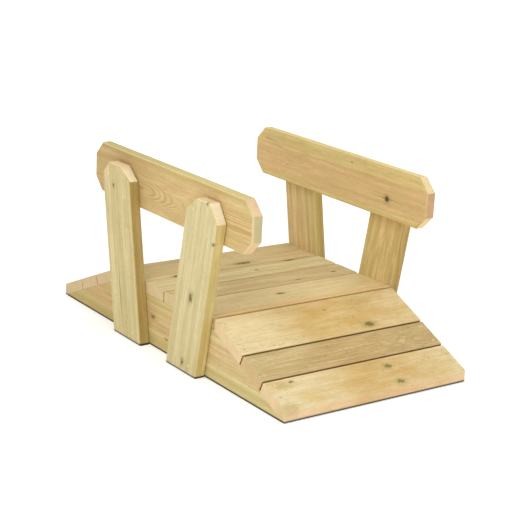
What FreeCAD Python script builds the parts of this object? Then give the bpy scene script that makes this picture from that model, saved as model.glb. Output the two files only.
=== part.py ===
"""Timber play footbridge for toddlers: a flat deck with a ramp at each end and two handrails.

Frame: millimetres, +Z up, the origin on the ground at the middle of the bridge.
The bridge is walked along X ("front" is +X), and "left" is the +Y side of someone
who walks towards the front.

Two boards on edge are the side panels.  Cross boards lie on them, four on the flat
deck and three on each ramp.  Two posts stand against the outer face of each panel and
lean apart, and a handrail is screwed to the inner faces of each pair.
"""
import FreeCAD, Part
import os
import sys

import Sketcher
from FreeCAD import Rotation, Vector

DOCUMENT = FreeCAD.newDocument("play_footbridge")

# Driving dimensions, in millimetres and degrees.
DIMENSIONS = [
    ("deck_width", 600, "length of a cross board, over the side panels' outer faces"),
    ("wide_board", 145, "width of a wide board"),
    ("narrow_board", 95, "width of a narrow board"),
    ("board_thickness", 32, "thickness of the cross boards"),
    ("panel_thickness", 34, "thickness of a side panel"),
    ("deck_gap", 6, "gap between two boards of the flat deck"),
    ("ramp_gap", 5, "gap between two boards of a ramp"),
    ("deck_shift", -3, "the flat boards' middle, off the middle of the bridge"),
    ("ridge", 250, "half the distance between the ridges, where ramp and deck meet"),
    ("ridge_setback", 3.5, "from the ridge to a ramp's first board, down the slope"),
    ("ramp_angle", 23.4, "slope of a ramp"),
    ("toe_blunt", 10, "how far a panel's tip stops short of the ramp's toe"),
    ("post_width", 145, "width of a post, square to its edges"),
    ("post_thickness", 34, "thickness of a post"),
    ("post_lean", 10, "how far a post leans from upright"),
    ("post_foot", 143, "from the middle of the bridge to the middle of a post's foot"),
    ("post_height", 490, "height of a post's top"),
    ("post_corner_run", 42, "corner cut of a post's top, along X"),
    ("post_corner_drop", 36, "corner cut of a post's top, along Z"),
    ("front_corner_drop", 50, "the same, for the front posts' outer corners"),
    ("rail_length", 805, "length of a handrail"),
    ("rail_thickness", 32, "thickness of a handrail"),
    ("rail_bottom", 379, "height of a handrail's lower edge"),
    ("rail_shift", 3.5, "the handrails' middle, off the middle of the bridge"),
    ("rail_corner", 38, "corner cut of a handrail, along X and along Z"),
    ("board_arris", 3.5, "rounding of the cross boards' long edges"),
    ("post_arris", 5, "rounding of the posts' edges"),
    ("rail_arris", 6, "rounding of the handrails' edges"),
    ("screw_head_radius", 4.5, "countersunk head"),
    ("screw_head_depth", 4, "depth of the countersunk head"),
    ("screw_shank_radius", 2.5, "body of the screw"),
    ("screw_length", 60, "screw, with its head"),
    ("toe_screw_length", 45, "shorter screw near a ramp's toe, where the panel is low"),
    ("drive_radius", 1.6, "drive recess in a screw's head"),
    ("drive_depth", 2, "depth of the drive recess"),
    ("pilot_clearance", 0.05, "play of a screw's body in its hole"),
    ("screw_inset", 18, "from a board's edge to its screws"),
    ("toe_screw_inset", 45, "from a ramp's toe to the last board's lower screws"),
    ("screw_spread", 38, "post screws, either side of the post's middle line"),
    ("low_screws", 28, "lower of a post's two panel screws, up the post"),
    ("high_screws", 112, "upper of a post's two panel screws, up the post"),
    ("low_rail_screws", 406, "lower of a post's two rail screws, up the post"),
    ("high_rail_screws", 458, "upper of a post's two rail screws, up the post"),
]

SIDES = {"left": 1, "right": -1}
ENDS = {"front": 1, "rear": -1}

# Lengths that follow from the driving dimensions, as expressions on the sheet "Size".
DECK_TOP = "(Size.wide_board + Size.board_thickness)"
RAMP_RUN = f"(({DECK_TOP} - Size.board_thickness / cos(Size.ramp_angle)) / tan(Size.ramp_angle))"
RAMP_SLOPE = f"({RAMP_RUN} / cos(Size.ramp_angle))"
PLUMB_OFFSET = "(Size.board_thickness * tan(Size.ramp_angle))"
PANEL_FACE = "(Size.deck_width / 2)"
SCREW_LINE = f"({PANEL_FACE} - Size.panel_thickness / 2)"


def fill_sheet():
    """Put the driving dimensions into the spreadsheet, one row each."""
    sheet = DOCUMENT.addObject("Spreadsheet::Sheet", "Size")
    for row, (alias, value, meaning) in enumerate(DIMENSIONS, start=1):
        sheet.set(f"A{row}", alias)
        sheet.set(f"B{row}", str(value))
        sheet.set(f"C{row}", meaning)
        sheet.setAlias(f"B{row}", alias)
    DOCUMENT.recompute()


def origin_plane(body, role):
    """Return one of a body's own origin planes."""
    return next(feature for feature in body.Origin.OriginFeatures if feature.Role == role)


def draw_outline(sketch, points):
    """Draw a closed outline whose corners are pairs of expressions."""
    count = len(points)
    for index in range(count):
        turn = Vector(index, index * index, 0)
        next_turn = Vector((index + 1) % count, ((index + 1) % count) ** 2, 0)
        sketch.addGeometry(Part.LineSegment(turn, next_turn), False)
    for index in range(count):
        sketch.addConstraint(Sketcher.Constraint("Coincident", index, 2, (index + 1) % count, 1))
    for index, (across, up) in enumerate(points):
        for direction, expression in (("DistanceX", across), ("DistanceY", up)):
            start = sketch.getPoint(index, 1)
            value = start.x if direction == "DistanceX" else start.y
            number = sketch.addConstraint(Sketcher.Constraint(direction, -1, 1, index, 1, value))
            sketch.setExpression(f"Constraints[{number}]", expression)


def edges_along_y(shape):
    """Name the straight edges that run along Y."""
    names = []
    for number, edge in enumerate(shape.Edges, start=1):
        if abs(edge.tangentAt(edge.FirstParameter).y) > 0.99:
            names.append(f"Edge{number}")
    return names


def edges_across_y(shape):
    """Name the edges of the two faces that are square to Y."""
    names = []
    for number, edge in enumerate(shape.Edges, start=1):
        if abs(edge.tangentAt(edge.FirstParameter).y) < 0.01:
            names.append(f"Edge{number}")
    return names


def make_board(name, points, thickness, pick_edges=None, arris=None):
    """Make a body from an outline in XZ, as thick as asked along Y, with rounded edges."""
    body = DOCUMENT.addObject("PartDesign::Body", f"{name}_body")
    sketch = body.newObject("Sketcher::SketchObject", f"{name}_outline")
    sketch.AttachmentSupport = (origin_plane(body, "XZ_Plane"), [""])
    sketch.MapMode = "FlatFace"
    draw_outline(sketch, points)
    pad = body.newObject("PartDesign::Pad", f"{name}_pad")
    pad.Profile = sketch
    pad.SideType = "Symmetric"
    pad.setExpression("Length", thickness)
    DOCUMENT.recompute()
    if pick_edges:
        fillet = body.newObject("PartDesign::Fillet", f"{name}_arris")
        fillet.Base = (pad, pick_edges(pad.Shape))
        fillet.setExpression("Radius", arris)
        body.Tip = fillet
    return body


def set_place(item, place, axis=Vector(0, 1, 0), angle="0"):
    """Bind an object's position, and its turn about one axis, to expressions."""
    item.Placement.Rotation = Rotation(axis, 1)
    for letter, expression in zip("xyz", place):
        item.setExpression(f".Placement.Base.{letter}", expression)
    item.setExpression(".Placement.Rotation.Angle", angle)


def make_screw_profile(name, length, clearance, recessed):
    """Draw half of a countersunk screw, or of its hole, head up, about the Z axis."""
    sketch = DOCUMENT.addObject("Sketcher::SketchObject", name)
    sketch.Placement = FreeCAD.Placement(Vector(), Rotation(Vector(1, 0, 0), 90))
    body_radius = f"(Size.screw_shank_radius + {clearance})"
    head = [
        ("Size.screw_head_radius", "0"),
        (body_radius, "-Size.screw_head_depth"),
        (body_radius, f"-{length} - {clearance}"),
        ("0", f"-{length} - {clearance}"),
    ]
    if recessed:
        drive = [
            ("0", "-Size.drive_depth"),
            ("Size.drive_radius", "-Size.drive_depth"),
            ("Size.drive_radius", "0"),
        ]
    else:
        drive = [("0", "0")]
    draw_outline(sketch, drive + head)
    return sketch


def turn_profile(name, sketch):
    """Turn a profile about Z into a solid."""
    solid = DOCUMENT.addObject("Part::Revolution", name)
    solid.Source = sketch
    solid.Axis = Vector(0, 0, 1)
    solid.Angle = 360
    solid.Solid = True
    return solid


def finish_node(name, body, holes):
    """Drill a body and give the result the node's name."""
    if holes:
        drills = DOCUMENT.addObject("Part::Compound", f"{name}_drills")
        drills.Links = holes
        node = DOCUMENT.addObject("Part::Cut", name)
        node.Base = body
        node.Tool = drills
    else:
        node = body
    node.Label = name
    NODES.append(node)


def group_screws(name, screws):
    """Join equal screws into one node, as separate solids."""
    node = DOCUMENT.addObject("Part::Compound", name)
    node.Links = screws
    node.Label = name
    NODES.append(node)


def place_screw(name, profiles, place, axis, angle):
    """Place one screw and its hole; return both."""
    pair = []
    for kind, profile in zip(("screw", "hole"), profiles):
        solid = turn_profile(f"{name}_{kind}", profile)
        set_place(solid, place, axis, angle)
        pair.append(solid)
    return pair


def board_section(start, end, start_slant="0", end_slant="0"):
    """Return the outline of a cross board's end, with its top at Z 0."""
    bottom = "-Size.board_thickness"
    return [
        (start, "0"),
        (end, "0"),
        (f"{end} + {end_slant}", bottom),
        (f"{start} + {start_slant}", bottom),
    ]


def mirror_points(points, end):
    """Turn an outline of the front end into one of the end asked for."""
    return [(f"{end} * ({across})", up) for across, up in points]


def make_deck():
    """Make the four boards of the flat deck and their screws."""
    widths = ["Size.wide_board", "Size.narrow_board", "Size.narrow_board", "Size.wide_board"]
    all_screws = []
    start = "(Size.deck_shift - Size.wide_board - Size.narrow_board - 1.5 * Size.deck_gap)"
    for number, width in enumerate(widths, start=1):
        name = f"deck_board_{number}"
        end = f"({start} + {width})"
        section = board_section(start, end)
        body = make_board(name, section, "Size.deck_width", edges_along_y, "Size.board_arris")
        set_place(body, ("0", "0", DECK_TOP))
        holes = []
        for side_name, side in SIDES.items():
            for row, across in enumerate((f"{start} + Size.screw_inset", f"{end} - Size.screw_inset")):
                screw, hole = place_screw(
                    f"{name}_{side_name}_{row}", LONG_SCREW,
                    (across, f"{side} * {SCREW_LINE}", DECK_TOP), Vector(0, 1, 0), "0",
                )
                all_screws.append(screw)
                holes.append(hole)
                PANEL_HOLES[side_name].append(hole)
        finish_node(name, body, holes)
        start = f"({end} + Size.deck_gap)"
    group_screws("deck_screws", all_screws)


def make_ramp(end_name, end):
    """Make the three boards of one ramp and their screws, drawn down the slope."""
    first_end = "(Size.ridge_setback + Size.wide_board)"
    second_start = f"({first_end} + Size.ramp_gap)"
    second_end = f"({second_start} + Size.narrow_board)"
    third_start = f"({second_end} + Size.ramp_gap)"
    boards = [
        ("Size.ridge_setback", first_end, PLUMB_OFFSET, "0"),
        (second_start, second_end, "0", "0"),
        (third_start, RAMP_SLOPE, "0", PLUMB_OFFSET),
    ]
    all_screws = []
    for number, (start, finish, start_slant, end_slant) in enumerate(boards, start=1):
        name = f"{end_name}_ramp_board_{number}"
        points = mirror_points(board_section(start, finish, start_slant, end_slant), end)
        body = make_board(name, points, "Size.deck_width", edges_along_y, "Size.board_arris")
        set_place(body, (f"{end} * Size.ridge", "0", DECK_TOP), Vector(0, end, 0), "Size.ramp_angle")
        is_toe = number == len(boards)
        upper_inset = f"Size.screw_inset + {PLUMB_OFFSET} / 2" if number == 1 else "Size.screw_inset"
        upper = f"({start} + {upper_inset})"
        lower = f"({finish} - Size.toe_screw_inset)" if is_toe else f"({finish} - Size.screw_inset)"
        holes = []
        for side_name, side in SIDES.items():
            for row, along in enumerate((upper, lower)):
                profiles = SHORT_SCREW if is_toe else LONG_SCREW
                place = (
                    f"{end} * (Size.ridge + {along} * cos(Size.ramp_angle))",
                    f"{side} * {SCREW_LINE}",
                    f"{DECK_TOP} - {along} * sin(Size.ramp_angle)",
                )
                screw, hole = place_screw(
                    f"{name}_{side_name}_{row}", profiles, place, Vector(0, end, 0), "Size.ramp_angle",
                )
                all_screws.append(screw)
                holes.append(hole)
                PANEL_HOLES[side_name].append(hole)
        finish_node(name, body, holes)
    group_screws(f"{end_name}_ramp_screws", all_screws)


def post_outline(end):
    """Return a post's outline: a leaning board with its top corners cut off."""
    half = "(Size.post_width / 2 / cos(Size.post_lean))"
    lean = "tan(Size.post_lean)"
    outer_drop = "Size.front_corner_drop" if end > 0 else "Size.post_corner_drop"
    outer_shoulder = f"(Size.post_height - {outer_drop})"
    inner_shoulder = "(Size.post_height - Size.post_corner_drop)"
    top_middle = f"Size.post_foot + Size.post_height * {lean}"
    points = [
        (f"Size.post_foot - {half}", "0"),
        (f"Size.post_foot + {half}", "0"),
        (f"Size.post_foot + {half} + {outer_shoulder} * {lean}", outer_shoulder),
        (f"{top_middle} + {half} - Size.post_corner_run", "Size.post_height"),
        (f"{top_middle} - {half} + Size.post_corner_run", "Size.post_height"),
        (f"Size.post_foot - {half} + {inner_shoulder} * {lean}", inner_shoulder),
    ]
    return mirror_points(points, end)


def make_post(side_name, side, end_name, end):
    """Make one post with the screws that hold it to its panel and its handrail."""
    name = f"post_{side_name}_{end_name}"
    outline = post_outline(end)
    body = make_board(name, outline, "Size.post_thickness", edges_across_y, "Size.post_arris")
    set_place(body, ("0", f"{side} * ({PANEL_FACE} + Size.post_thickness / 2)", "0"))
    outer_face = f"{side} * ({PANEL_FACE} + Size.post_thickness)"
    groups = {
        "panel": (("Size.low_screws", "Size.high_screws"), PANEL_HOLES[side_name]),
        "rail": (("Size.low_rail_screws", "Size.high_rail_screws"), RAIL_HOLES[side_name]),
    }
    post_holes = []
    for target, (rows, target_holes) in groups.items():
        screws = []
        for row, (height, offset) in enumerate(zip(rows, ("Size.screw_spread", "-Size.screw_spread"))):
            middle = f"(Size.post_foot + {height} * tan(Size.post_lean))"
            place = (f"{end} * {middle} + {offset}", outer_face, height)
            screw, hole = place_screw(
                f"{name}_{target}_{row}", LONG_SCREW, place, Vector(-side, 0, 0), "90",
            )
            screws.append(screw)
            post_holes.append(hole)
            target_holes.append(hole)
        group_screws(f"{target}_screws_{side_name}_{end_name}", screws)
    finish_node(name, body, post_holes)


def make_panel(side_name, side):
    """Make one side panel: a board on edge, sawn to the ramps' slopes."""
    tip = f"(Size.ridge + {RAMP_RUN} - Size.toe_blunt)"
    tip_height = "Size.toe_blunt * tan(Size.ramp_angle)"
    shoulder = f"(Size.ridge + {RAMP_RUN} - Size.wide_board / tan(Size.ramp_angle))"
    points = [
        (f"-{tip}", "0"),
        (tip, "0"),
        (tip, tip_height),
        (shoulder, "Size.wide_board"),
        (f"-{shoulder}", "Size.wide_board"),
        (f"-{tip}", tip_height),
    ]
    name = f"side_panel_{side_name}"
    body = make_board(name, points, "Size.panel_thickness")
    set_place(body, ("0", f"{side} * ({PANEL_FACE} - Size.panel_thickness / 2)", "0"))
    finish_node(name, body, PANEL_HOLES[side_name])


def make_handrail(side_name, side):
    """Make one handrail: a board on edge with all four corners cut off."""
    back = "(Size.rail_shift - Size.rail_length / 2)"
    front = "(Size.rail_shift + Size.rail_length / 2)"
    low = "Size.rail_bottom"
    high = "(Size.rail_bottom + Size.wide_board)"
    cut = "Size.rail_corner"
    points = [
        (f"{back} + {cut}", low),
        (f"{front} - {cut}", low),
        (front, f"{low} + {cut}"),
        (front, f"{high} - {cut}"),
        (f"{front} - {cut}", high),
        (f"{back} + {cut}", high),
        (back, f"{high} - {cut}"),
        (back, f"{low} + {cut}"),
    ]
    name = f"handrail_{side_name}"
    body = make_board(name, points, "Size.rail_thickness", edges_across_y, "Size.rail_arris")
    set_place(body, ("0", f"{side} * ({PANEL_FACE} - Size.rail_thickness / 2)", "0"))
    finish_node(name, body, RAIL_HOLES[side_name])


def check_and_export():
    """Stop on any failed object; otherwise write one STEP file for each node."""
    DOCUMENT.recompute()
    failed = [item.Name for item in DOCUMENT.Objects if {"Invalid", "Error"} & set(item.State)]
    for node in NODES:
        if node.Shape.isNull() or not node.Shape.isValid() or not node.Shape.Solids:
            failed.append(node.Label)
    if failed:
        sys.exit("failed objects: " + ", ".join(failed))
    os.makedirs("parts", exist_ok=True)
    for node in NODES:
        node.Shape.exportStep(os.path.join("parts", node.Label + ".step"))
        box = node.Shape.BoundBox
        print(
            f"{node.Label:28s} solids {len(node.Shape.Solids):3d}"
            f"  volume {node.Shape.Volume / 1000:9.1f} cm3"
            f"  x {box.XMin:7.1f}..{box.XMax:7.1f}  y {box.YMin:7.1f}..{box.YMax:7.1f}"
            f"  z {box.ZMin:6.1f}..{box.ZMax:6.1f}"
        )


NODES = []
PANEL_HOLES = {side_name: [] for side_name in SIDES}
RAIL_HOLES = {side_name: [] for side_name in SIDES}

fill_sheet()
LONG_SCREW = (
    make_screw_profile("long_screw_profile", "Size.screw_length", "0", True),
    make_screw_profile("long_hole_profile", "Size.screw_length", "Size.pilot_clearance", False),
)
SHORT_SCREW = (
    make_screw_profile("short_screw_profile", "Size.toe_screw_length", "0", True),
    make_screw_profile("short_hole_profile", "Size.toe_screw_length", "Size.pilot_clearance", False),
)
make_deck()
for end_name, end in ENDS.items():
    make_ramp(end_name, end)
for side_name, side in SIDES.items():
    for end_name, end in ENDS.items():
        make_post(side_name, side, end_name, end)
    make_panel(side_name, side)
    make_handrail(side_name, side)
check_and_export()
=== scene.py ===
"""Timber play footbridge for toddlers, dressed for rendering.

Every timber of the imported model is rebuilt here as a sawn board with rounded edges, sunk
screw holes and its own grain, and stands in for its CAD node.  The screws stay as they are
and get a plated-steel finish.  Lengths are in metres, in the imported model's frame: +Z up,
+X towards the front ramp, +Y towards the left handrail.
"""
from math import cos, radians, sin, tan

import bmesh
import bpy
from mathutils import Matrix, Vector


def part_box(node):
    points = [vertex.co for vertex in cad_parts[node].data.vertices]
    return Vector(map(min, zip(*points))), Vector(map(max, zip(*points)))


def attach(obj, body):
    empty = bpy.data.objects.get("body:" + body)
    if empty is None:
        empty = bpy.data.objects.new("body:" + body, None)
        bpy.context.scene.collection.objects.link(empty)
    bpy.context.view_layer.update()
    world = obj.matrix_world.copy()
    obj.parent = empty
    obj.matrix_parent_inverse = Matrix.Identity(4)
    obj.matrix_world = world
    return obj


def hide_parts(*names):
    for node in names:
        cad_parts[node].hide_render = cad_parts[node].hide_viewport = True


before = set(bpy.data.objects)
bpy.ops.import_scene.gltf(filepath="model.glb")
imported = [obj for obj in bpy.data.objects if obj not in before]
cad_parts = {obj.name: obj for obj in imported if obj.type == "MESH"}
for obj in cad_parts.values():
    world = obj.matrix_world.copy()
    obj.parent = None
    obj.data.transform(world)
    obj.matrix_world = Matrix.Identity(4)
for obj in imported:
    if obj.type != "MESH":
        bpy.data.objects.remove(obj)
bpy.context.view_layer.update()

# Timber sections and the bridge's layout.
WIDE_BOARD = 0.145
NARROW_BOARD = 0.095
BOARD_THICKNESS = 0.032
RAMP_GAP = 0.005
RAMP_ANGLE = radians(23.4)
RIDGE = 0.250
RIDGE_SETBACK = 0.0035
TOE_BLUNT = 0.010
POST_LEAN = radians(10)
POST_WIDTH = 0.145
POST_FOOT = 0.143
POST_CORNER_RUN = 0.042
POST_CORNER_DROP = 0.036
FRONT_CORNER_DROP = 0.050
RAIL_CORNER = 0.038
SIDES = {"left": 1, "right": -1}
ENDS = {"front": 1, "rear": -1}

# Edge rounding, by kind of timber, and the facets it is made of.
BOARD_ARRIS = 0.0035
POST_ARRIS = 0.005
RAIL_ARRIS = 0.006
PANEL_ARRIS = 0.002
SAWN_EDGE = 0.001
BOARD_FACETS = 5
SIDE_FACETS = 6
SAWN_FACETS = 3
SHARP_ANGLE = radians(40)

# Screw heads, and the sinks cut for them.
SINK_RADIUS = 0.0047
SINK_DEPTH = 0.0041
SHANK_RADIUS = 0.0026
SINK_PROUD = 0.001
SINK_SIDES = 32
HEAD_MARGIN = 0.002

# Points closer than this are one point, and a head's rim is level to within this.
SAME_POINT = 0.000001
RIM_LEVEL = 0.00001

# Directions count as along, square to or the same as another beyond these cosines.
ALONG = 0.9
SQUARE_TO = 0.1
SAME_WAY = 0.99

DECK_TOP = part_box("deck_board_1")[1].z
HALF_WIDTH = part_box("deck_board_1")[1].y
X_AXIS = Vector((1, 0, 0))
Y_AXIS = Vector((0, 1, 0))
Z_AXIS = Vector((0, 0, 1))


# ---------------------------------------------------------------- colour and node helpers

def srgb(red, green, blue):
    """Turn 0-255 display colour into the linear colour that shaders use."""
    channels = []
    for value in (red, green, blue):
        level = value / 255
        channels.append(level / 12.92 if level <= 0.04045 else ((level + 0.055) / 1.055) ** 2.4)
    return (*channels, 1.0)


# The mix node keeps a set of sockets for each kind of value: first, second and result.
COLOUR_SOCKETS = (6, 7, 2)
VECTOR_SOCKETS = (4, 5, 1)


class Graph:
    """A short way to write shader nodes: each method adds one and returns its output."""

    def __init__(self, tree):
        self.tree = tree

    def node(self, kind, settings=None, **inputs):
        made = self.tree.nodes.new(kind)
        for key, value in (settings or {}).items():
            setattr(made, key, value)
        for key, value in inputs.items():
            self.feed(made.inputs[key.replace("_", " ")], value)
        return made

    def feed(self, socket, value):
        """Set an input to a value, or link it to another node's output."""
        if isinstance(value, bpy.types.NodeSocket):
            self.tree.links.new(value, socket)
        else:
            socket.default_value = value

    def math(self, operation, *values):
        made = self.node("ShaderNodeMath", {"operation": operation})
        for socket, value in zip(made.inputs, values):
            self.feed(socket, value)
        return made.outputs[0]

    def vector(self, operation, *values):
        made = self.node("ShaderNodeVectorMath", {"operation": operation})
        for socket, value in zip(made.inputs, values):
            self.feed(socket, value)
        return made.outputs["Value" if operation in ("LENGTH", "DOT_PRODUCT") else "Vector"]

    def noise(self, place, scale, detail=2.0, roughness=0.5, colour=False):
        """Noise of a place that is first scaled by three numbers."""
        scaled = self.vector("MULTIPLY", place, scale)
        made = self.node(
            "ShaderNodeTexNoise", Vector=scaled, Scale=1.0, Detail=detail, Roughness=roughness
        )
        return made.outputs["Color" if colour else "Fac"]

    def ramp(self, value, low, high, smooth=True):
        """Rise from 0 to 1 as a value goes from low to high."""
        made = self.node("ShaderNodeMapRange", {"clamp": True})
        made.interpolation_type = "SMOOTHSTEP" if smooth else "LINEAR"
        for key, number in (("Value", value), ("From Min", low), ("From Max", high)):
            self.feed(made.inputs[key], number)
        return made.outputs[0]

    def mix(self, share, first, second, kind="RGBA"):
        """Blend two colours or vectors: a share of 0 gives the first and 1 the second."""
        made = self.node("ShaderNodeMix", {"data_type": kind}, Factor=share)
        first_socket, second_socket, result = COLOUR_SOCKETS if kind == "RGBA" else VECTOR_SOCKETS
        self.feed(made.inputs[first_socket], first)
        self.feed(made.inputs[second_socket], second)
        return made.outputs[result]

    def split(self, vector):
        """Take a vector apart into its three numbers."""
        return self.node("ShaderNodeSeparateXYZ", Vector=vector).outputs


def new_group(name, inputs, outputs):
    """Make a shader node group; return its tree, its graph and its inputs by name."""
    tree = bpy.data.node_groups.new(name, "ShaderNodeTree")
    for label, kind, default in inputs:
        socket = tree.interface.new_socket(label, in_out="INPUT", socket_type=kind)
        if default is not None:
            socket.default_value = default
    for label, kind in outputs:
        tree.interface.new_socket(label, in_out="OUTPUT", socket_type=kind)
    graph = Graph(tree)
    entry = tree.nodes.new("NodeGroupInput")
    leave = tree.nodes.new("NodeGroupOutput")
    return tree, graph, entry.outputs, leave.inputs


# ---------------------------------------------------------------- the wood itself

FLOAT, VECTOR, COLOUR = "NodeSocketFloat", "NodeSocketVector", "NodeSocketColor"
SPLIT_BROWN = srgb(74, 58, 32)
SPECK_BROWN = srgb(158, 106, 52)
# Colour of the painted contact shadow along each timber's foot.
CONTACT_SHADOW_GREY = srgb(46, 41, 32)
PLATING_PALE = srgb(232, 210, 158)
PLATING_YELLOW = srgb(218, 194, 140)
# Heights where the painted contact shadow is full and where it has faded out.
CONTACT_SHADOW_BELOW = 0.0040
CONTACT_SHADOW_ABOVE = 0.0080
WOOD_COLOURS = ("Pale", "Late", "Heart", "Stain", "End", "Chamfer", "Arris", "Knot", "Rim")
WOOD_VECTORS = ("Tone", "Far Tone", "Edge Tint And Shading")
WOOD_NUMBERS = (
    "Heart Radius", "Ring", "Ring Strength", "Bands", "Figure", "Stained", "Specks", "Wander",
    "Dip", "Dip Middle", "Dip Reach", "Arris Shading Strength", "Turn", "Return", "Seam",
)


def build_knot_group():
    """One knot: a branch through the board, which the growth rings flow round."""
    tree, graph, given, result = new_group(
        "knot",
        [("Grain", VECTOR, None), ("Place", VECTOR, None), ("Scale", VECTOR, None),
         ("Radius", FLOAT, 0.01), ("Ragged", FLOAT, 3.0)],
        [("Core", FLOAT), ("Halo", FLOAT), ("Bulge", FLOAT)],
    )
    offset = graph.vector("SUBTRACT", given["Grain"], given["Place"])
    distance = graph.vector("LENGTH", graph.vector("MULTIPLY", offset, given["Scale"]))
    uneven = graph.math("SUBTRACT", graph.noise(given["Grain"], (120, 200, 200), 4, 0.65), 0.5)
    distance = graph.math("MULTIPLY_ADD", uneven, given["Ragged"], distance)
    graph.feed(result["Core"], graph.ramp(distance, 1.10, 0.55))
    graph.feed(result["Halo"], graph.ramp(distance, 2.5, 0.5))
    square = graph.math("MULTIPLY", distance, distance)
    spread = graph.math("EXPONENT", graph.math("MULTIPLY", square, -0.22))
    graph.feed(result["Bulge"], graph.math("MULTIPLY", spread, given["Radius"]))
    return tree


def build_split_group():
    """One drying split: a thin dark line with the grain that tapers to both ends."""
    tree, graph, given, result = new_group(
        "split",
        [("Grain", VECTOR, None), ("Place", VECTOR, None), ("Length", FLOAT, 0.1),
         ("Width", FLOAT, 0.001)],
        [("Dark", FLOAT)],
    )
    offset = graph.vector("SUBTRACT", given["Grain"], given["Place"])
    along, across, _ = graph.split(offset)
    waver = graph.math("MULTIPLY_ADD", graph.noise(given["Grain"], (30, 9, 9), 3), 0.008, -0.004)
    side = graph.math("ABSOLUTE", graph.math("ADD", across, waver))
    reach = graph.math("DIVIDE", graph.math("ABSOLUTE", along), graph.math("MULTIPLY", given["Length"], 0.5))
    width = graph.math("MULTIPLY", graph.ramp(reach, 1.0, 0.1), given["Width"])
    width = graph.math("ADD", width, 0.00001)
    graph.feed(result["Dark"], graph.ramp(graph.math("DIVIDE", side, width), 1.0, 0.0))
    return tree


def log_place(graph, given):
    """Turn a place on the board into one in its log, whose pith dips away at one place."""
    along = graph.split(given["Grain"])[0]
    run = graph.math("DIVIDE", graph.math("SUBTRACT", along, given["Dip Middle"]), given["Dip Reach"])
    dip = graph.math("EXPONENT", graph.math("MULTIPLY", graph.math("MULTIPLY", run, run), -1.0))
    lift = graph.node("ShaderNodeCombineXYZ", Z=graph.math("MULTIPLY", dip, given["Dip"])).outputs[0]
    return graph.vector("ADD", graph.vector("ADD", given["Grain"], given["Shift"]), lift)


def ring_radius(graph, given, log):
    """Distance from the pith; the log is not a true cylinder, so it wanders along its length."""
    drift = graph.noise(log, (2.6, 11, 11), 3, 0.55, colour=True)
    drift = graph.vector("SUBTRACT", drift, (0.5, 0.5, 0.5))
    drift = graph.vector("SCALE", drift)
    graph.feed(drift.node.inputs["Scale"], given["Wander"])
    cross = graph.vector("MULTIPLY", graph.vector("ADD", log, drift), (0, 1, 1))
    return graph.math("ADD", graph.vector("LENGTH", cross), given["Bulge"])


def late_wood(graph, given, log, radius):
    """Dark end of each year's ring, from 0 to 1.  Ring widths vary from year to year."""
    years = graph.node("ShaderNodeTexNoise", {"noise_dimensions": "1D"}, Scale=1.0, Detail=1.0)
    graph.feed(years.inputs["W"], graph.math("MULTIPLY", radius, 70.0))
    year = graph.math("DIVIDE", radius, given["Ring"])
    year = graph.math("ADD", year, graph.math("MULTIPLY", years.outputs[0], 2.2))
    part = graph.math("FRACT", year)
    late = graph.math("MULTIPLY", graph.ramp(part, 0.30, 0.88), graph.ramp(part, 1.0, 0.90))
    patches = graph.ramp(graph.noise(log, (4, 30, 30), 2), 0.30, 0.68)
    return graph.math("MULTIPLY", late, patches)


def grey(graph, level):
    """A colour that is the same in all three channels."""
    return graph.node("ShaderNodeCombineXYZ", X=level, Y=level, Z=level).outputs[0]


def face_colour(graph, given, log, radius, late, fibre):
    """Colour of the long faces: heart and sap, figure, stain, rings, fibres and specks."""
    edge_noise = graph.noise(log, (3, 60, 60), 3, 0.6)
    heart = graph.math("MULTIPLY_ADD", edge_noise, 0.012, graph.math("SUBTRACT", radius, 0.006))
    inside = graph.math("SUBTRACT", given["Heart Radius"], heart)
    colour = graph.mix(graph.ramp(inside, -0.003, 0.004), given["Pale"], given["Heart"])
    seam = graph.ramp(graph.math("ABSOLUTE", graph.math("ADD", inside, 0.0015)), 0.0045, 0.001)
    cloud = graph.ramp(graph.noise(log, (10, 20, 20), 3, 0.55), 0.36, 0.70)
    colour = graph.mix(graph.math("MULTIPLY", cloud, given["Stained"]), colour, given["Stain"])
    bands = graph.ramp(graph.noise(log, (1.3, 75, 75), 2, 0.5), 0.36, 0.62)
    colour = graph.mix(graph.math("MULTIPLY", bands, given["Bands"]), colour, given["Late"])
    figure = graph.ramp(graph.noise(log, (7, 150, 150), 4, 0.62), 0.38, 0.66)
    colour = graph.mix(graph.math("MULTIPLY", figure, given["Figure"]), colour, given["Late"])
    colour = graph.mix(graph.math("MULTIPLY", late, given["Ring Strength"]), colour, given["Late"])
    mottle = graph.noise(log, (45, 160, 160), 3, 0.6)
    level = graph.math("MULTIPLY_ADD", graph.ramp(mottle, 0.3, 0.7, smooth=False), 0.10, 0.885)
    level = graph.math("MULTIPLY_ADD", graph.ramp(fibre, 0.30, 0.70, smooth=False), 0.13, level)
    colour = graph.vector("MULTIPLY", colour, grey(graph, level))
    colour = graph.mix(graph.math("MULTIPLY", seam, given["Seam"]), colour, given["Arris"])
    speck = graph.ramp(graph.noise(log, (95, 330, 330), 3, 0.65), 0.56, 0.70)
    speck = graph.math("MULTIPLY", speck, graph.ramp(graph.noise(log, (9, 22, 22), 1), 0.42, 0.62))
    return graph.mix(graph.math("MULTIPLY", speck, given["Specks"]), colour, SPECK_BROWN)


def tone_along(graph, given):
    """A board's tint, which drifts along it to the far tone and partly back by the far end; the drift is
    partly the wood's own colour and partly painted light and shade along the board.
    """
    along = graph.split(given["Grain"])[0]
    reach = graph.math("DIVIDE", along, given["Half Length"])
    share = graph.ramp(reach, -0.75, given["Turn"])
    back = graph.math("MULTIPLY", graph.ramp(reach, given["Turn"], 1.0), given["Return"])
    share = graph.math("MULTIPLY", share, graph.math("SUBTRACT", 1.0, back))
    return graph.mix(share, given["Tone"], given["Far Tone"], kind="VECTOR")


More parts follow.
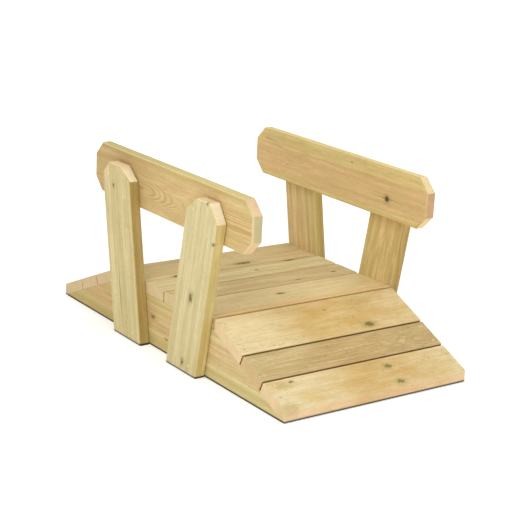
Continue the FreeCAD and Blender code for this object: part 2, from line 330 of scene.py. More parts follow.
def end_colour(graph, given, log, ending, late):
    """Colour of end grain, which drinks more and is paler, with pores and rings, not fibres."""
    sawn = graph.mix(graph.ramp(ending, 0.78, 0.92), given["Chamfer"], given["End"])
    sawn = graph.mix(graph.math("MULTIPLY", late, 0.30), sawn, given["Late"])
    pores = graph.ramp(graph.noise(log, (420, 700, 700), 3), 0.3, 0.75)
    blotch = graph.ramp(graph.noise(log, (40, 45, 45), 2), 0.3, 0.7)
    level = graph.math("MULTIPLY_ADD", pores, -0.10, graph.math("MULTIPLY_ADD", blotch, -0.08, 1.08))
    return graph.vector("MULTIPLY", sawn, grey(graph, level))


def add_knot_colour(graph, given, log, colour):
    """Lay knots and splits over a colour.  Knots streak into the wood beside them."""
    smear = graph.ramp(graph.noise(log, (50, 330, 330), 4, 0.65), 0.30, 0.62)
    halo = graph.math("MULTIPLY", given["Halo"], graph.math("MULTIPLY_ADD", smear, 0.6, 0.25))
    colour = graph.mix(halo, colour, given["Rim"])
    core = graph.math("MULTIPLY", given["Core"], graph.math("MULTIPLY_ADD", smear, 0.35, 0.60))
    colour = graph.mix(core, colour, given["Knot"])
    return graph.mix(graph.math("MULTIPLY", given["Split"], 0.6), colour, SPLIT_BROWN)


def add_contact_shadow(graph, colour):
    """Darken a timber's lowest edge with painted shade: a painted contact shadow where it stands on the
    ground.
    """
    height = graph.split(graph.node("ShaderNodeNewGeometry").outputs["Position"])[2]
    contact_shadow = graph.math("MULTIPLY", graph.ramp(height, CONTACT_SHADOW_ABOVE, CONTACT_SHADOW_BELOW), 0.95)
    return graph.mix(contact_shadow, colour, CONTACT_SHADOW_GREY)


def feed_surface(graph, given, result, late, fibre, end):
    """Set how rough the wood is and how its grain stands out."""
    rough = graph.math("MULTIPLY_ADD", late, -0.10, 0.68)
    rough = graph.math("MULTIPLY_ADD", fibre, 0.12, rough)
    rough = graph.math("MULTIPLY_ADD", end, 0.15, rough)
    graph.feed(result["Roughness"], graph.math("MULTIPLY_ADD", given["Core"], -0.12, rough))
    height = graph.math("MULTIPLY_ADD", late, 0.35, graph.math("MULTIPLY", fibre, 0.9))
    height = graph.math("MULTIPLY_ADD", given["Core"], -0.5, height)
    graph.feed(result["Height"], graph.math("MULTIPLY_ADD", given["Split"], -3.0, height))


def build_timber_group():
    """Softwood cut from a log, told apart on its faces, edges, ends and rounded arrises, with painted light
    and shade on its edges and arrises and a painted contact shadow at its foot.
    """
    tree, graph, given, result = new_group(
        "timber",
        [("Grain", VECTOR, None), ("Shift", VECTOR, None), ("Half Length", FLOAT, 0.3),
         ("Length Axis", VECTOR, None), ("Face Axis", VECTOR, None)]
        + [(name, COLOUR, None) for name in WOOD_COLOURS]
        + [(name, VECTOR, None) for name in WOOD_VECTORS]
        + [(name, FLOAT, 0.0) for name in WOOD_NUMBERS]
        + [(name, FLOAT, 0.0) for name in ("Core", "Halo", "Bulge", "Split")],
        [("Color", COLOUR), ("Roughness", FLOAT), ("Height", FLOAT)],
    )
    log = log_place(graph, given)
    radius = ring_radius(graph, given, log)
    late = late_wood(graph, given, log, radius)
    fibre = graph.noise(log, (14, 1300, 1300), 3, 0.7)
    colour = face_colour(graph, given, log, radius, late, fibre)

    normal = graph.node("ShaderNodeNewGeometry").outputs["Normal"]
    facing = graph.math("ABSOLUTE", graph.vector("DOT_PRODUCT", normal, given["Face Axis"]))
    ending = graph.math("ABSOLUTE", graph.vector("DOT_PRODUCT", normal, given["Length Axis"]))
    # The edge faces take their own tone: partly the wood's tint there, partly painted shade (darker,
    # yellower post sides, darker gaps between the front ramp boards) and painted light (paler handrail tops
    # and bottoms).
    edge = graph.ramp(facing, 0.55, 0.25)
    colour = graph.mix(edge, colour, graph.vector("MULTIPLY", colour, given["Edge Tint And Shading"]))
    colour = graph.vector("MULTIPLY", colour, tone_along(graph, given))

    end = graph.ramp(ending, 0.45, 0.62)
    colour = graph.mix(end, colour, end_colour(graph, given, log, ending, late))

    # Painted highlight along the rounded arrises: a band in the arris colour, lighter than the faces beside
    # it (darker on some boards, which is painted shade).
    arris_shading = graph.math("MULTIPLY", graph.ramp(facing, 0.12, 0.40), graph.ramp(facing, 0.985, 0.88))
    colour = graph.mix(graph.math("MULTIPLY", arris_shading, given["Arris Shading Strength"]), colour, given["Arris"])

    colour = add_knot_colour(graph, given, log, colour)
    # Painted contact shadow at the timber's foot.
    graph.feed(result["Color"], add_contact_shadow(graph, colour))
    feed_surface(graph, given, result, late, fibre, end)
    return tree


KNOT_GROUP = build_knot_group()
SPLIT_GROUP = build_split_group()
TIMBER_GROUP = build_timber_group()


def join_values(graph, totals, key, value, operation):
    """Fold one more value into a running total."""
    totals[key] = value if key not in totals else graph.math(operation, totals[key], value)


def add_flaws(graph, grain, wood):
    """Add a board's knots, pin knots, smudges and splits; return what they come to together."""
    totals = {}
    through = [((along, across, 0), radius, (1 / (radius * stretch), 1 / radius, 0))
               for along, across, radius, stretch in wood["knots"]]
    pins = [(place, radius, (1 / radius, 1 / radius, 1 / radius)) for place, radius in wood["pins"]]
    for place, radius, scale in through + pins:
        knot = graph.node("ShaderNodeGroup", {"node_tree": KNOT_GROUP}, Grain=grain,
                          Place=place, Scale=scale, Radius=radius, Ragged=wood["Ragged"])
        for key, operation in (("Core", "MAXIMUM"), ("Halo", "MAXIMUM"), ("Bulge", "ADD")):
            join_values(graph, totals, key, knot.outputs[key], operation)
    for along, across, radius, stretch in wood["smudges"]:
        smudge = graph.node("ShaderNodeGroup", {"node_tree": KNOT_GROUP}, Grain=grain, Radius=radius,
                            Place=(along, across, 0), Scale=(1 / (radius * stretch), 1 / radius, 0))
        join_values(graph, totals, "Halo", graph.math("MULTIPLY", smudge.outputs["Halo"], 0.6), "MAXIMUM")
    for along, across, length, width in wood["splits"]:
        split = graph.node("ShaderNodeGroup", {"node_tree": SPLIT_GROUP}, Grain=grain,
                           Place=(along, across, 0), Length=length, Width=width)
        join_values(graph, totals, "Split", split.outputs["Dark"], "MAXIMUM")
    return totals


def timber_material(name, length_axis, face_axis, half_length, wood):
    """Make one board's material."""
    material = bpy.data.materials.new(name)
    material.use_nodes = True
    material.node_tree.nodes.clear()
    graph = Graph(material.node_tree)
    grain = graph.node("ShaderNodeAttribute", {"attribute_name": "grain"}).outputs["Vector"]
    body = graph.node("ShaderNodeGroup", {"node_tree": TIMBER_GROUP}, Grain=grain)
    pith_across, pith_depth = wood["Pith"]
    body.inputs["Shift"].default_value = (wood["Seed"], -pith_across, pith_depth)
    body.inputs["Half Length"].default_value = half_length
    body.inputs["Length Axis"].default_value = length_axis
    body.inputs["Face Axis"].default_value = face_axis
    for key in WOOD_COLOURS:
        body.inputs[key].default_value = srgb(*wood[key])
    for key in WOOD_VECTORS + WOOD_NUMBERS:
        body.inputs[key].default_value = wood[key]
    for key, total in add_flaws(graph, grain, wood).items():
        graph.feed(body.inputs[key], total)
    bump = graph.node("ShaderNodeBump", Strength=0.5, Distance=0.0005, Height=body.outputs["Height"])
    shader = graph.node("ShaderNodeBsdfPrincipled", Roughness=body.outputs["Roughness"])
    graph.feed(shader.inputs["Base Color"], body.outputs["Color"])
    graph.feed(shader.inputs["Normal"], bump.outputs[0])
    shader.inputs["Specular IOR Level"].default_value = 0.3
    out = graph.node("ShaderNodeOutputMaterial")
    graph.feed(out.inputs["Surface"], shader.outputs[0])
    return material


def screw_material():
    """Yellow-passivated zinc plate, faintly mottled."""
    material = bpy.data.materials.new("screw_plating")
    material.use_nodes = True
    graph = Graph(material.node_tree)
    shader = material.node_tree.nodes["Principled BSDF"]
    place = graph.node("ShaderNodeTexCoord").outputs["Object"]
    mottle = graph.noise(place, (260, 260, 260), 3)
    colour = graph.mix(graph.ramp(mottle, 0.35, 0.7), PLATING_PALE, PLATING_YELLOW)
    graph.feed(shader.inputs["Base Color"], colour)
    shader.inputs["Metallic"].default_value = 0.15
    graph.feed(shader.inputs["Roughness"], graph.math("MULTIPLY_ADD", mottle, 0.25, 0.3))
    return material


# ---------------------------------------------------------------- making a timber

def find_islands(mesh):
    """Sort a mesh's vertices into the separate solids that they belong to."""
    islands = []
    waiting = set(mesh.verts)
    while waiting:
        island, queue = set(), [waiting.pop()]
        while queue:
            vertex = queue.pop()
            island.add(vertex)
            for link in vertex.link_edges:
                other = link.other_vert(vertex)
                if other in waiting:
                    waiting.remove(other)
                    queue.append(other)
        islands.append(island)
    return islands


def screw_heads():
    """Find each screw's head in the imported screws: its middle and the way it faces."""
    facing = {"deck_screws": Z_AXIS}
    for end_name, end in ENDS.items():
        facing[f"{end_name}_ramp_screws"] = Vector((end * sin(RAMP_ANGLE), 0, cos(RAMP_ANGLE)))
        for side_name, side in SIDES.items():
            for kind in ("panel", "rail"):
                facing[f"{kind}_screws_{side_name}_{end_name}"] = side * Y_AXIS
    heads = []
    for node, axis in facing.items():
        mesh = bmesh.new()
        mesh.from_mesh(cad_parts[node].data)
        bmesh.ops.remove_doubles(mesh, verts=mesh.verts, dist=SAME_POINT)
        for island in find_islands(mesh):
            top = max(vertex.co.dot(axis) for vertex in island)
            rim = [vertex.co for vertex in island if vertex.co.dot(axis) > top - RIM_LEVEL]
            heads.append((sum(rim, Vector()) / len(rim), axis))
        mesh.free()
    return heads


def sink_cutter(place, axis):
    """Make a cone that cuts one countersink, standing a little proud of the face."""
    cutter = bmesh.new()
    slope = (SINK_RADIUS - SHANK_RADIUS) / SINK_DEPTH
    bmesh.ops.create_cone(
        cutter, cap_ends=True, segments=SINK_SIDES, radius1=SHANK_RADIUS,
        radius2=SINK_RADIUS + slope * SINK_PROUD, depth=SINK_DEPTH + SINK_PROUD,
    )
    turn = Z_AXIS.rotation_difference(axis).to_matrix().to_4x4()
    middle = place + axis * (SINK_PROUD - SINK_DEPTH) / 2
    bmesh.ops.transform(cutter, matrix=Matrix.Translation(middle) @ turn, verts=cutter.verts)
    mesh = bpy.data.meshes.new("sink")
    cutter.to_mesh(mesh)
    cutter.free()
    return mesh


def cut_sinks(piece, face, level):
    """Cut the countersinks of the screws whose heads lie in one face of a board."""
    low, high = (Vector(corner) for corner in (piece.bound_box[0], piece.bound_box[6]))
    joined = bmesh.new()
    for place, axis in HEADS:
        inside = all(low[i] - HEAD_MARGIN < place[i] < high[i] + HEAD_MARGIN for i in range(3))
        if inside and axis.dot(face) > SAME_WAY and abs(place.dot(face) - level) < HEAD_MARGIN:
            mesh = sink_cutter(place, axis)
            joined.from_mesh(mesh)
            bpy.data.meshes.remove(mesh)
    if joined.verts:
        mesh = bpy.data.meshes.new("sinks")
        joined.to_mesh(mesh)
        cutter = bpy.data.objects.new("sinks", mesh)
        bpy.context.collection.objects.link(cutter)
        boolean = piece.modifiers.new("sinks", "BOOLEAN")
        boolean.object = cutter
        boolean.operation = "DIFFERENCE"
        boolean.solver = "EXACT"
        scene_state = bpy.context.evaluated_depsgraph_get()
        cut = bpy.data.meshes.new_from_object(piece.evaluated_get(scene_state), depsgraph=scene_state)
        piece.modifiers.clear()
        piece.data = cut
        bpy.data.objects.remove(cutter)
    joined.free()


def edges_where(mesh, test):
    """Pick the edges whose direction and two ends pass a test."""
    picked = []
    for edge in mesh.edges:
        ends = [vertex.co for vertex in edge.verts]
        if test((ends[1] - ends[0]).normalized(), ends):
            picked.append(edge)
    return picked


def round_edges(mesh, edges, radius, segments):
    """Round some edges of a mesh."""
    bmesh.ops.bevel(
        mesh, geom=edges, offset=radius, segments=segments, profile=0.5, affect="EDGES",
        clamp_overlap=True,
    )


def sawn_board(name, outline, span, rounding, length_axis):
    """Extrude an outline in XZ between two heights of Y and round its edges."""
    mesh = bmesh.new()
    near = [mesh.verts.new((x, span[0], z)) for x, z in outline]
    far = [mesh.verts.new((x, span[1], z)) for x, z in outline]
    mesh.faces.new(near)
    mesh.faces.new(list(reversed(far)))
    for index in range(len(outline)):
        after = (index + 1) % len(outline)
        mesh.faces.new((near[after], near[index], far[index], far[after]))
    bmesh.ops.recalc_face_normals(mesh, faces=mesh.faces)
    if length_axis.y > ALONG:
        long_edges = edges_where(mesh, lambda step, _: abs(step.y) > ALONG)
        round_edges(mesh, long_edges, rounding, BOARD_FACETS)
        at_end = edges_where(mesh, lambda _, ends: all(
            min(abs(end.y - level) for level in span) < SAME_POINT for end in ends))
        round_edges(mesh, at_end, SAWN_EDGE, SAWN_FACETS)
    else:
        rim_edges = edges_where(mesh, lambda step, _: abs(step.y) < SQUARE_TO)
        round_edges(mesh, rim_edges, rounding, SIDE_FACETS)
    bmesh.ops.remove_doubles(mesh, verts=mesh.verts, dist=SAME_POINT)
    result = bpy.data.meshes.new(name)
    mesh.to_mesh(result)
    mesh.free()
    return result


def write_grain(mesh, centre, axes):
    """Store each vertex's place on the board: along it, across it and out of its face."""
    layer = mesh.attributes.new("grain", "FLOAT_VECTOR", "POINT")
    for vertex, item in zip(mesh.vertices, layer.data):
        offset = vertex.co - centre
        item.vector = Vector([offset.dot(axis) for axis in axes])


def make_timber(node, outline, span, rounding, centre, axes):
    """Make one timber, with its own grain, in place of its CAD node.

    The axes run along the timber, across it and out of its best face.
    """
    wood = WOODS[node]
    length_axis, _, face = axes
    mesh = sawn_board(node, outline, span, rounding, length_axis)
    piece = bpy.data.objects.new(f"{node}_sawn", mesh)
    bpy.context.collection.objects.link(piece)
    corners = [Vector((x, y, z)) for x, z in outline for y in span]
    cut_sinks(piece, face, max(corner.dot(face) for corner in corners))
    write_grain(piece.data, centre, axes)
    piece.data.shade_smooth()
    piece.data.set_sharp_from_angle(angle=SHARP_ANGLE)
    normals = piece.modifiers.new("face_normals", "WEIGHTED_NORMAL")
    normals.keep_sharp = True
    half_length = max(abs((corner - centre).dot(length_axis)) for corner in corners)
    piece.data.materials.clear()
    piece.data.materials.append(timber_material(f"{node}_wood", length_axis, face, half_length, wood))
    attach(piece, "root")
    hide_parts(node)


# ---------------------------------------------------------------- each board's wood

# Colours are 0-255 display colours and tones are linear factors.  A board's near end is the
# low end of its length axis.  Pith is (across, behind the face).  Knots are (along, across,
# radius, stretch), smudges likewise, pins are ((along, across, out of the face), radius), and
# splits are (along, across, length, width), all from the board's middle.
# Edge tones, far tones and the arris colour carry painted light and shade as well as the wood's own colour.
PLAIN = {
    "Seed": 0.0, "Pith": (0.0, 0.060), "Heart Radius": 0.0, "Ring": 0.0045, "Ring Strength": 0.25,
    "Bands": 0.25, "Figure": 0.35, "Stained": 0.5, "Specks": 0.4, "Wander": 0.016, "Seam": 0.0,
    "Dip": 0.0, "Dip Middle": 0.0, "Dip Reach": 0.1, "Arris Shading Strength": 0.25, "Turn": 0.75, "Return": 0.0,
    "Ragged": 3.0,
    "Tone": (1, 1, 1), "Far Tone": (1, 1, 1), "Edge Tint And Shading": (1, 1, 1),
    "End": (226, 198, 155), "Chamfer": (236, 208, 166), "Arris": (240, 220, 168),
    "Knot": (98, 84, 48), "Rim": (160, 140, 82), "knots": [], "pins": [], "smudges": [], "splits": [],
}
SAP = {**PLAIN, "Pale": (232, 222, 174), "Late": (192, 178, 120), "Heart": (226, 200, 150),
       "Stain": (204, 202, 150), "Bands": 0.5, "Figure": 0.4}
CREAM = {**PLAIN, "Pale": (242, 220, 170), "Late": (212, 174, 108), "Heart": (238, 200, 148),
         "Stain": (230, 200, 132)}
TAN = {**PLAIN, "Pale": (222, 202, 152), "Late": (188, 154, 100), "Heart": (224, 192, 142),
       "Stain": (204, 188, 128)}
DECK_END = (211, 186, 140)
REAR_RAMP_END = (206, 182, 140)

WOODS = {
    "deck_board_1": {
        **TAN, "Seed": 0.3, "Pith": (-0.02, 0.070), "Tone": (1.05, 1.04, 1.02),
        "Far Tone": (1.05, 1.04, 1.02), "End": DECK_END,
        "knots": [(0.049, 0.0510, 0.008, 3.2), (-0.196, 0.070, 0.003, 3.0)],
    },
    "deck_board_2": {
        **CREAM, "Seed": 1.7, "Pith": (0.05, 0.050), "Tone": (0.92, 0.96, 0.95),
        "Far Tone": (0.92, 0.96, 0.95), "Late": (196, 170, 112), "Bands": 0.5, "End": DECK_END,
        "knots": [(0.046, 0.0, 0.004, 1.6), (0.190, -0.040, 0.005, 3.0)],
        "splits": [(0.20, -0.042, 0.09, 0.0015), (-0.04, -0.020, 0.30, 0.0009)],
    },
    "deck_board_3": {
        **TAN, "Seed": 2.9, "Pith": (-0.01, 0.060), "Tone": (1.07, 1.09, 1.11),
        "Far Tone": (1.07, 1.09, 1.11), "Bands": 0.5, "Ring Strength": 0.5, "Specks": 0.8,
        "End": DECK_END,
        "knots": [(0.240, 0.012, 0.004, 2.0), (0.10, 0.030, 0.003, 3.0)],
        "splits": [(-0.08, -0.022, 0.34, 0.0011), (-0.02, 0.014, 0.26, 0.0010), (0.12, -0.034, 0.2, 0.0009)],
    },
    "deck_board_4": {
        # The heartwood band along this board's front edge is partly the wood's colour and partly a painted
        # highlight on its rounded front arris.
        **CREAM, "Seed": 4.1, "Pith": (0.075, 0.012), "Heart Radius": 0.0368, "Late": (204, 172, 112),
        "Tone": (0.99, 1.02, 1.02), "Far Tone": (0.99, 1.02, 1.02), "Heart": (240, 200, 140),
        "knots": [(-0.021, -0.0135, 0.0055, 2.0)], "End": DECK_END,
    },
    "front_ramp_board_1": {
        **CREAM, "Seed": 5.2, "Pith": (-0.01, 0.045), "Figure": 0.25, "Stained": 0.75, "Bands": 0.1,
        "Stain": (226, 188, 116), "Tone": (1.0, 1.05, 1.11), "Far Tone": (0.89, 0.82, 0.63), "Turn": 0.0,
        "Return": 0.5, "Knot": (112, 100, 46), "Rim": (182, 156, 90), "Specks": 0.6,
        # Darker edges: painted shade in the gaps between the ramp boards.
        "Edge Tint And Shading": (0.55, 0.45, 0.32),
        "knots": [(0.132, 0.050, 0.009, 1.9), (0.032, -0.033, 0.003, 1.3)],
        "smudges": [(0.151, -0.047, 0.014, 2.0)],
    },
    "front_ramp_board_2": {
        **TAN, "Seed": 6.8, "Pith": (0.01, 0.020), "Specks": 0.9, "Figure": 0.6,
        "Dip": 0.014, "Dip Middle": 0.16, "Dip Reach": 0.06, "Ring Strength": 0.6, "Turn": 0.0,
        "Tone": (1.0, 1.0, 0.98), "Far Tone": (0.94, 0.87, 0.76), "Return": 0.5, "End": (206, 176, 126),
        # Darker edges: painted shade in the gaps between the ramp boards.
        "Edge Tint And Shading": (0.55, 0.45, 0.32),
    },
    "front_ramp_board_3": {
        **CREAM, "Seed": 7.7, "Pith": (-0.03, 0.060), "Figure": 0.25, "Stained": 0.75, "Bands": 0.1,
        "Stain": (226, 188, 116), "Tone": (1.0, 1.07, 1.15), "Far Tone": (0.86, 0.78, 0.61), "Turn": 0.05,
        "Return": 0.9, "Knot": (126, 114, 52), "Rim": (184, 160, 94), "Edge Tint And Shading": (1.14, 0.90, 1.06),
        "Specks": 0.6, "knots": [(0.081, -0.020, 0.008, 1.3), (0.082, 0.040, 0.007, 1.7),
                                 (-0.225, -0.036, 0.0035, 2.2)],
        "smudges": [(-0.249, -0.028, 0.008, 2.0), (-0.280, 0.045, 0.010, 1.8)],
    },
    "rear_ramp_board_1": {
        **CREAM, "Seed": 8.3, "Pith": (0.02, 0.060), "Tone": (0.92, 0.90, 0.84), "End": REAR_RAMP_END,
        "knots": [(-0.11, 0.031, 0.007, 1.8), (0.17, -0.02, 0.004, 2.2)],
    },
    "rear_ramp_board_2": {
        **TAN, "Seed": 9.6, "Pith": (-0.02, 0.080), "Bands": 0.5, "Tone": (1.02, 1.0, 0.95),
        "End": REAR_RAMP_END,
        "knots": [(0.06, -0.012, 0.005, 2.4)],
    },
    "rear_ramp_board_3": {
        **CREAM, "Seed": 10.4, "Pith": (0.01, 0.040), "Tone": (0.90, 0.87, 0.78), "End": REAR_RAMP_END,
        "knots": [(-0.19, 0.01, 0.006, 1.6), (0.22, 0.025, 0.005, 2.0)],
    },
    "side_panel_left": {
        **TAN, "Seed": 11.9, "Pith": (0.012, 0.020), "Heart Radius": 0.052, "Bands": 0.4, "Seam": 0.3,
        "Pale": (210, 192, 128), "Tone": (1.02, 0.99, 0.90), "Far Tone": (0.90, 0.86, 0.74),
        "knots": [(0.21, 0.022, 0.006, 2.0), (-0.31, -0.01, 0.004, 2.2)],
    },
    "side_panel_right": {
        **TAN, "Seed": 13.1, "Pith": (0.008, 0.020), "Heart Radius": 0.052, "Bands": 0.4, "Seam": 0.3,
        "Pale": (210, 192, 128), "Tone": (0.84, 0.82, 0.70), "Far Tone": (1.02, 1.09, 1.12),
        "Ring Strength": 0.45, "Knot": (118, 88, 46), "Rim": (176, 144, 84),
        "knots": [(-0.057, 0.0135, 0.006, 2.2), (0.02, -0.03, 0.003, 3.0)],
        "splits": [(0.0, 0.0, 0.10, 0.001)],
    },
    "post_left_front": {
        **TAN, "Seed": 14.7, "Pith": (0.0, 0.020), "Heart Radius": 0.045, "Dip": 0.016,
        "Dip Middle": 0.10, "Dip Reach": 0.09, "Ring Strength": 0.5, "Bands": 0.45, "Arris Shading Strength": 0.05,
        "Pale": (214, 190, 136), "Late": (180, 146, 86), "Tone": (1.10, 1.17, 1.10),
        "Far Tone": (1.08, 1.15, 1.08), "Edge Tint And Shading": (0.84, 0.74, 0.58), "Chamfer": (246, 226, 184),
    },
    "post_left_rear": {
        **TAN, "Seed": 15.5, "Pith": (-0.01, 0.030), "Heart Radius": 0.045, "Bands": 0.45,
        "Pale": (214, 190, 136), "Late": (180, 146, 86), "Tone": (1.08, 1.14, 1.14),
        "Far Tone": (1.06, 1.12, 1.12), "Edge Tint And Shading": (0.80, 0.75, 0.55), "Chamfer": (246, 226, 184),
        "Arris Shading Strength": 0.05,
    },
    "post_right_front": {
        **SAP, "Seed": 16.8, "Pith": (-0.09, 0.050), "Arris Shading Strength": 0.4, "Arris": (226, 204, 144),
        "Heart Radius": 0.062, "Heart": (238, 206, 152),
        "Tone": (0.93, 0.88, 0.86), "Far Tone": (0.95, 0.90, 0.90), "Edge Tint And Shading": (1.07, 1.0, 0.76),
        "Chamfer": (246, 232, 197), "knots": [(-0.027, 0.0045, 0.0075, 1.8), (-0.219, 0.007, 0.0055, 1.5)],
        "pins": [((0.249, 0.021, 0.015), 0.004), ((0.157, 0.0700, 0.014), 0.004)],
        "splits": [(0.082, 0.0, 0.05, 0.0010)],
    },
    "post_right_rear": {
        **SAP, "Seed": 18.2, "Pith": (-0.10, 0.060), "Arris Shading Strength": 0.4, "Arris": (214, 190, 128),
        "Heart Radius": 0.074, "Heart": (236, 206, 154),
        "Tone": (0.89, 0.83, 0.76), "Far Tone": (0.88, 0.80, 0.74), "Edge Tint And Shading": (0.76, 0.66, 0.44),
        "Chamfer": (244, 228, 190), "knots": [(0.189, -0.013, 0.0042, 2.0)],
        "splits": [(-0.120, -0.0165, 0.20, 0.0030)],
    },
    "handrail_left": {
        **TAN, "Seed": 19.4, "Pith": (-0.008, 0.020), "Heart Radius": 0.058, "Wander": 0.010,
        "Tone": (1.03, 1.04, 0.95), "Far Tone": (1.03, 1.04, 0.95), "Arris Shading Strength": 0.5,
        "Pale": (222, 200, 140), "Heart": (226, 191, 144), "Edge Tint And Shading": (1.2, 1.25, 1.40),
        "Arris": (200, 172, 110), "Dip": 0.010, "Dip Middle": -0.20, "Dip Reach": 0.08,
        "Ring Strength": 0.38, "Ring": 0.0035,
        "Ragged": 1.0, "Knot": (40, 34, 24),
        "knots": [(0.2385, -0.0165, 0.0092, 1.1), (0.0745, 0.0545, 0.0018, 1.5)],
        "splits": [(0.238, -0.0165, 0.16, 0.0014), (-0.329, 0.0425, 0.10, 0.002)],
        "End": (208, 168, 126), "Chamfer": (236, 214, 164),
    },
    "handrail_right": {
        **TAN, "Seed": 21.0, "Pith": (-0.0115, 0.020), "Heart Radius": 0.083, "Ring Strength": 0.75,
        "Ring": 0.0036, "Late": (188, 142, 88), "Figure": 0.25, "Arris": (226, 204, 150),
        "Dip": 0.016, "Dip Middle": 0.05, "Dip Reach": 0.09, "Arris Shading Strength": 0.7, "Wander": 0.006,
        "Tone": (0.77, 0.79, 0.69), "Far Tone": (0.94, 0.99, 0.90), "Turn": 0.3,
        "Pale": (206, 182, 120), "Edge Tint And Shading": (1.20, 1.38, 1.62),
        "End": (204, 192, 142), "Chamfer": (230, 198, 156),
    },
}


# ---------------------------------------------------------------- the bridge

def cross_axes(end=0):
    """Axes of a cross board: along it, across it (down the slope) and out of its top."""
    angle = end * RAMP_ANGLE
    return (Y_AXIS, Vector((cos(angle), 0, -sin(angle))), Vector((sin(angle), 0, cos(angle))))


def make_deck():
    """Four boards on the flat."""
    for number in range(1, 5):
        node = f"deck_board_{number}"
        low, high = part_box(node)
        outline = [(low.x, low.z), (high.x, low.z), (high.x, high.z), (low.x, high.z)]
        make_timber(node, outline, (-HALF_WIDTH, HALF_WIDTH), BOARD_ARRIS, (low + high) / 2,
                    cross_axes())


def make_ramp(end_name, end):
    """Three boards down one slope, the first and last sawn plumb at the ridge and the toe."""
    toe_height = BOARD_THICKNESS / cos(RAMP_ANGLE)
    slope = (DECK_TOP - toe_height) / sin(RAMP_ANGLE)
    slant = BOARD_THICKNESS * tan(RAMP_ANGLE)
    first_end = RIDGE_SETBACK + WIDE_BOARD
    second_end = first_end + RAMP_GAP + NARROW_BOARD
    boards = [
        (RIDGE_SETBACK, first_end, slant, 0),
        (first_end + RAMP_GAP, second_end, 0, 0),
        (second_end + RAMP_GAP, slope, 0, slant),
    ]
    axes = cross_axes(end)
    under = -axes[2] * BOARD_THICKNESS
    down = Vector((end * cos(RAMP_ANGLE), 0, -sin(RAMP_ANGLE)))
    ridge = Vector((end * RIDGE, 0, DECK_TOP))
    for number, (start, finish, start_slant, end_slant) in enumerate(boards, start=1):
        corners = [
            ridge + down * start,
            ridge + down * finish,
            ridge + down * (finish + end_slant) + under,
            ridge + down * (start + start_slant) + under,
        ]
        outline = [(corner.x, corner.z) for corner in corners]
        centre = ridge + down * (start + finish) / 2 + under / 2
        make_timber(f"{end_name}_ramp_board_{number}", outline, (-HALF_WIDTH, HALF_WIDTH),
                    BOARD_ARRIS, centre, axes)


def make_post(side_name, side, end_name, end):
    """One leaning post with its top corners cut off."""
    node = f"post_{side_name}_{end_name}"
    low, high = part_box(node)
    half = POST_WIDTH / 2 / cos(POST_LEAN)
    lean = tan(POST_LEAN)
    top = high.z
    outer = top - (FRONT_CORNER_DROP if end > 0 else POST_CORNER_DROP)
    inner = top - POST_CORNER_DROP
    points = [
        (POST_FOOT - half, 0),
        (POST_FOOT + half, 0),
        (POST_FOOT + half + outer * lean, outer),
        (POST_FOOT + half + top * lean - POST_CORNER_RUN, top),
        (POST_FOOT - half + top * lean + POST_CORNER_RUN, top),
        (POST_FOOT - half + inner * lean, inner),
    ]
    outline = [(end * x, z) for x, z in points]
    centre = Vector((end * (POST_FOOT + top / 2 * lean), (low.y + high.y) / 2, top / 2))
    along = Vector((end * sin(POST_LEAN), 0, cos(POST_LEAN)))
    across = Vector((cos(POST_LEAN), 0, -end * sin(POST_LEAN)))
    make_timber(node, outline, (low.y, high.y), POST_ARRIS, centre, (along, across, side * Y_AXIS))


def make_panel(side_name, side):
    """One side panel: a board on edge, sawn to both slopes."""
    node = f"side_panel_{side_name}"
    low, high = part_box(node)
    tip_height = TOE_BLUNT * tan(RAMP_ANGLE)
    shoulder = high.x + TOE_BLUNT - high.z / tan(RAMP_ANGLE)
    outline = [
        (low.x, 0), (high.x, 0), (high.x, tip_height),
        (shoulder, high.z), (-shoulder, high.z), (low.x, tip_height),
    ]
    make_timber(node, outline, (low.y, high.y), PANEL_ARRIS, (low + high) / 2,
                (X_AXIS, Z_AXIS, side * Y_AXIS))


def make_handrail(side_name):
    """One handrail with all four corners cut off, its heart face towards the near side."""
    node = f"handrail_{side_name}"
    low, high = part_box(node)
    cut = RAIL_CORNER
    outline = [
        (low.x + cut, low.z), (high.x - cut, low.z), (high.x, low.z + cut), (high.x, high.z - cut),
        (high.x - cut, high.z), (low.x + cut, high.z), (low.x, high.z - cut), (low.x, low.z + cut),
    ]
    make_timber(node, outline, (low.y, high.y), RAIL_ARRIS, (low + high) / 2,
                (X_AXIS, Z_AXIS, -Y_AXIS))


def dress_screws():
    """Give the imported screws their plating."""
    plating = screw_material()
    for node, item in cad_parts.items():
        if "screws" in node:
            item.data.materials.clear()
            item.data.materials.append(plating)


# ---------------------------------------------------------------- floor, light and camera

FLOOR_REACH = 60
CAMERA_PLACE = (3.1836, -2.2627, 1.3836)
CAMERA_LENS = 97.0
CAMERA_FILM = 36


def make_floor():
    """A white floor, lit from within further out so that it stays white to the horizon."""
    mesh = bpy.data.meshes.new("floor")
    reach = FLOOR_REACH
    corners = [(-reach, -reach, 0), (reach, -reach, 0), (reach, reach, 0), (-reach, reach, 0)]
    mesh.from_pydata(corners, [], [(0, 1, 2, 3)])
    floor = bpy.data.objects.new("floor", mesh)
    bpy.context.collection.objects.link(floor)
    material = bpy.data.materials.new("floor_paint")
    material.use_nodes = True
    graph = Graph(material.node_tree)
    shader = material.node_tree.nodes["Principled BSDF"]
    shader.inputs["Base Color"].default_value = (0.95, 0.95, 0.95, 1)
    shader.inputs["Roughness"].default_value = 0.9
    shader.inputs["Emission Color"].default_value = (1, 1, 1, 1)
    place = graph.node("ShaderNodeTexCoord").outputs["Object"]
    outward = graph.ramp(graph.vector("LENGTH", place), 0.6, 3.0)
    graph.feed(shader.inputs["Emission Strength"], graph.math("MULTIPLY_ADD", outward, 0.35, 0.33))
    mesh.materials.append(material)


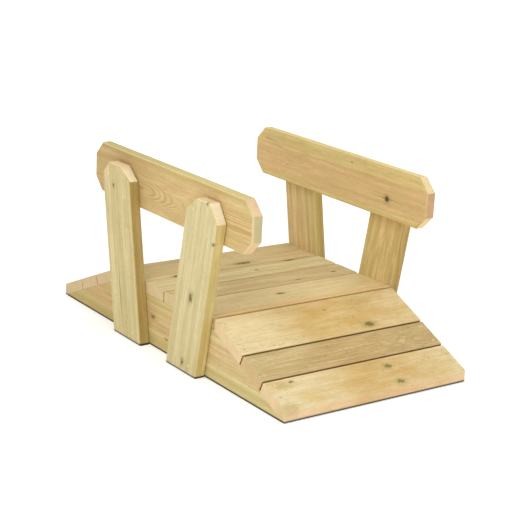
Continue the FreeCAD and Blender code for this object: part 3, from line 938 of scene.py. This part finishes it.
def add_softbox(name, place, target, size, power):
    """One large soft lamp, aimed at a point."""
    data = bpy.data.lights.new(name, "AREA")
    data.shape = "SQUARE"
    data.size = size
    data.energy = power
    lamp = bpy.data.objects.new(name, data)
    lamp.location = place
    lamp.rotation_mode = "QUATERNION"
    lamp.rotation_quaternion = (Vector(target) - Vector(place)).to_track_quat("-Z", "Y")
    bpy.context.collection.objects.link(lamp)


def light_scene():
    """A pale surround, white at the horizon, a soft key from the near side and a fill from above."""
    world = bpy.data.worlds.new("studio")
    world.use_nodes = True
    graph = Graph(world.node_tree)
    backdrop = world.node_tree.nodes["Background"]
    backdrop.inputs["Color"].default_value = (1, 1, 1, 1)
    upward = graph.split(graph.node("ShaderNodeTexCoord").outputs["Generated"])[2]
    horizon = graph.ramp(upward, 0.12, 0.04)
    graph.feed(backdrop.inputs["Strength"], graph.math("MULTIPLY_ADD", horizon, 0.52, 0.49))
    bpy.context.scene.world = world
    add_softbox("key", (0.9, -2.6, 3.2), (0, 0, 0.2), 2.2, 55)
    add_softbox("top", (0.6, 0.6, 3.4), (0, 0, 0.2), 2.4, 35)
    bpy.context.scene.view_settings.view_transform = "Standard"


def place_camera():
    """Look down on the bridge from its near front corner."""
    azimuth, elevation, roll = radians(54.17), radians(16.67), radians(2.81)
    back = Vector((sin(azimuth) * cos(elevation), -cos(azimuth) * cos(elevation), sin(elevation)))
    level_right = Vector((cos(azimuth), sin(azimuth), 0))
    level_up = back.cross(level_right)
    right = level_right * cos(roll) + level_up * sin(roll)
    up = level_up * cos(roll) - level_right * sin(roll)
    turn = Matrix((right, up, back)).transposed().to_4x4()
    data = bpy.data.cameras.new("camera")
    data.lens = CAMERA_LENS
    data.sensor_width = CAMERA_FILM
    camera = bpy.data.objects.new("camera", data)
    camera.matrix_world = Matrix.Translation(CAMERA_PLACE) @ turn
    bpy.context.collection.objects.link(camera)
    bpy.context.scene.camera = camera


HEADS = screw_heads()
make_deck()
for end_name, end in ENDS.items():
    make_ramp(end_name, end)
for side_name, side in SIDES.items():
    make_panel(side_name, side)
    make_handrail(side_name)
    for end_name, end in ENDS.items():
        make_post(side_name, side, end_name, end)
dress_screws()
make_floor()
light_scene()
place_camera()
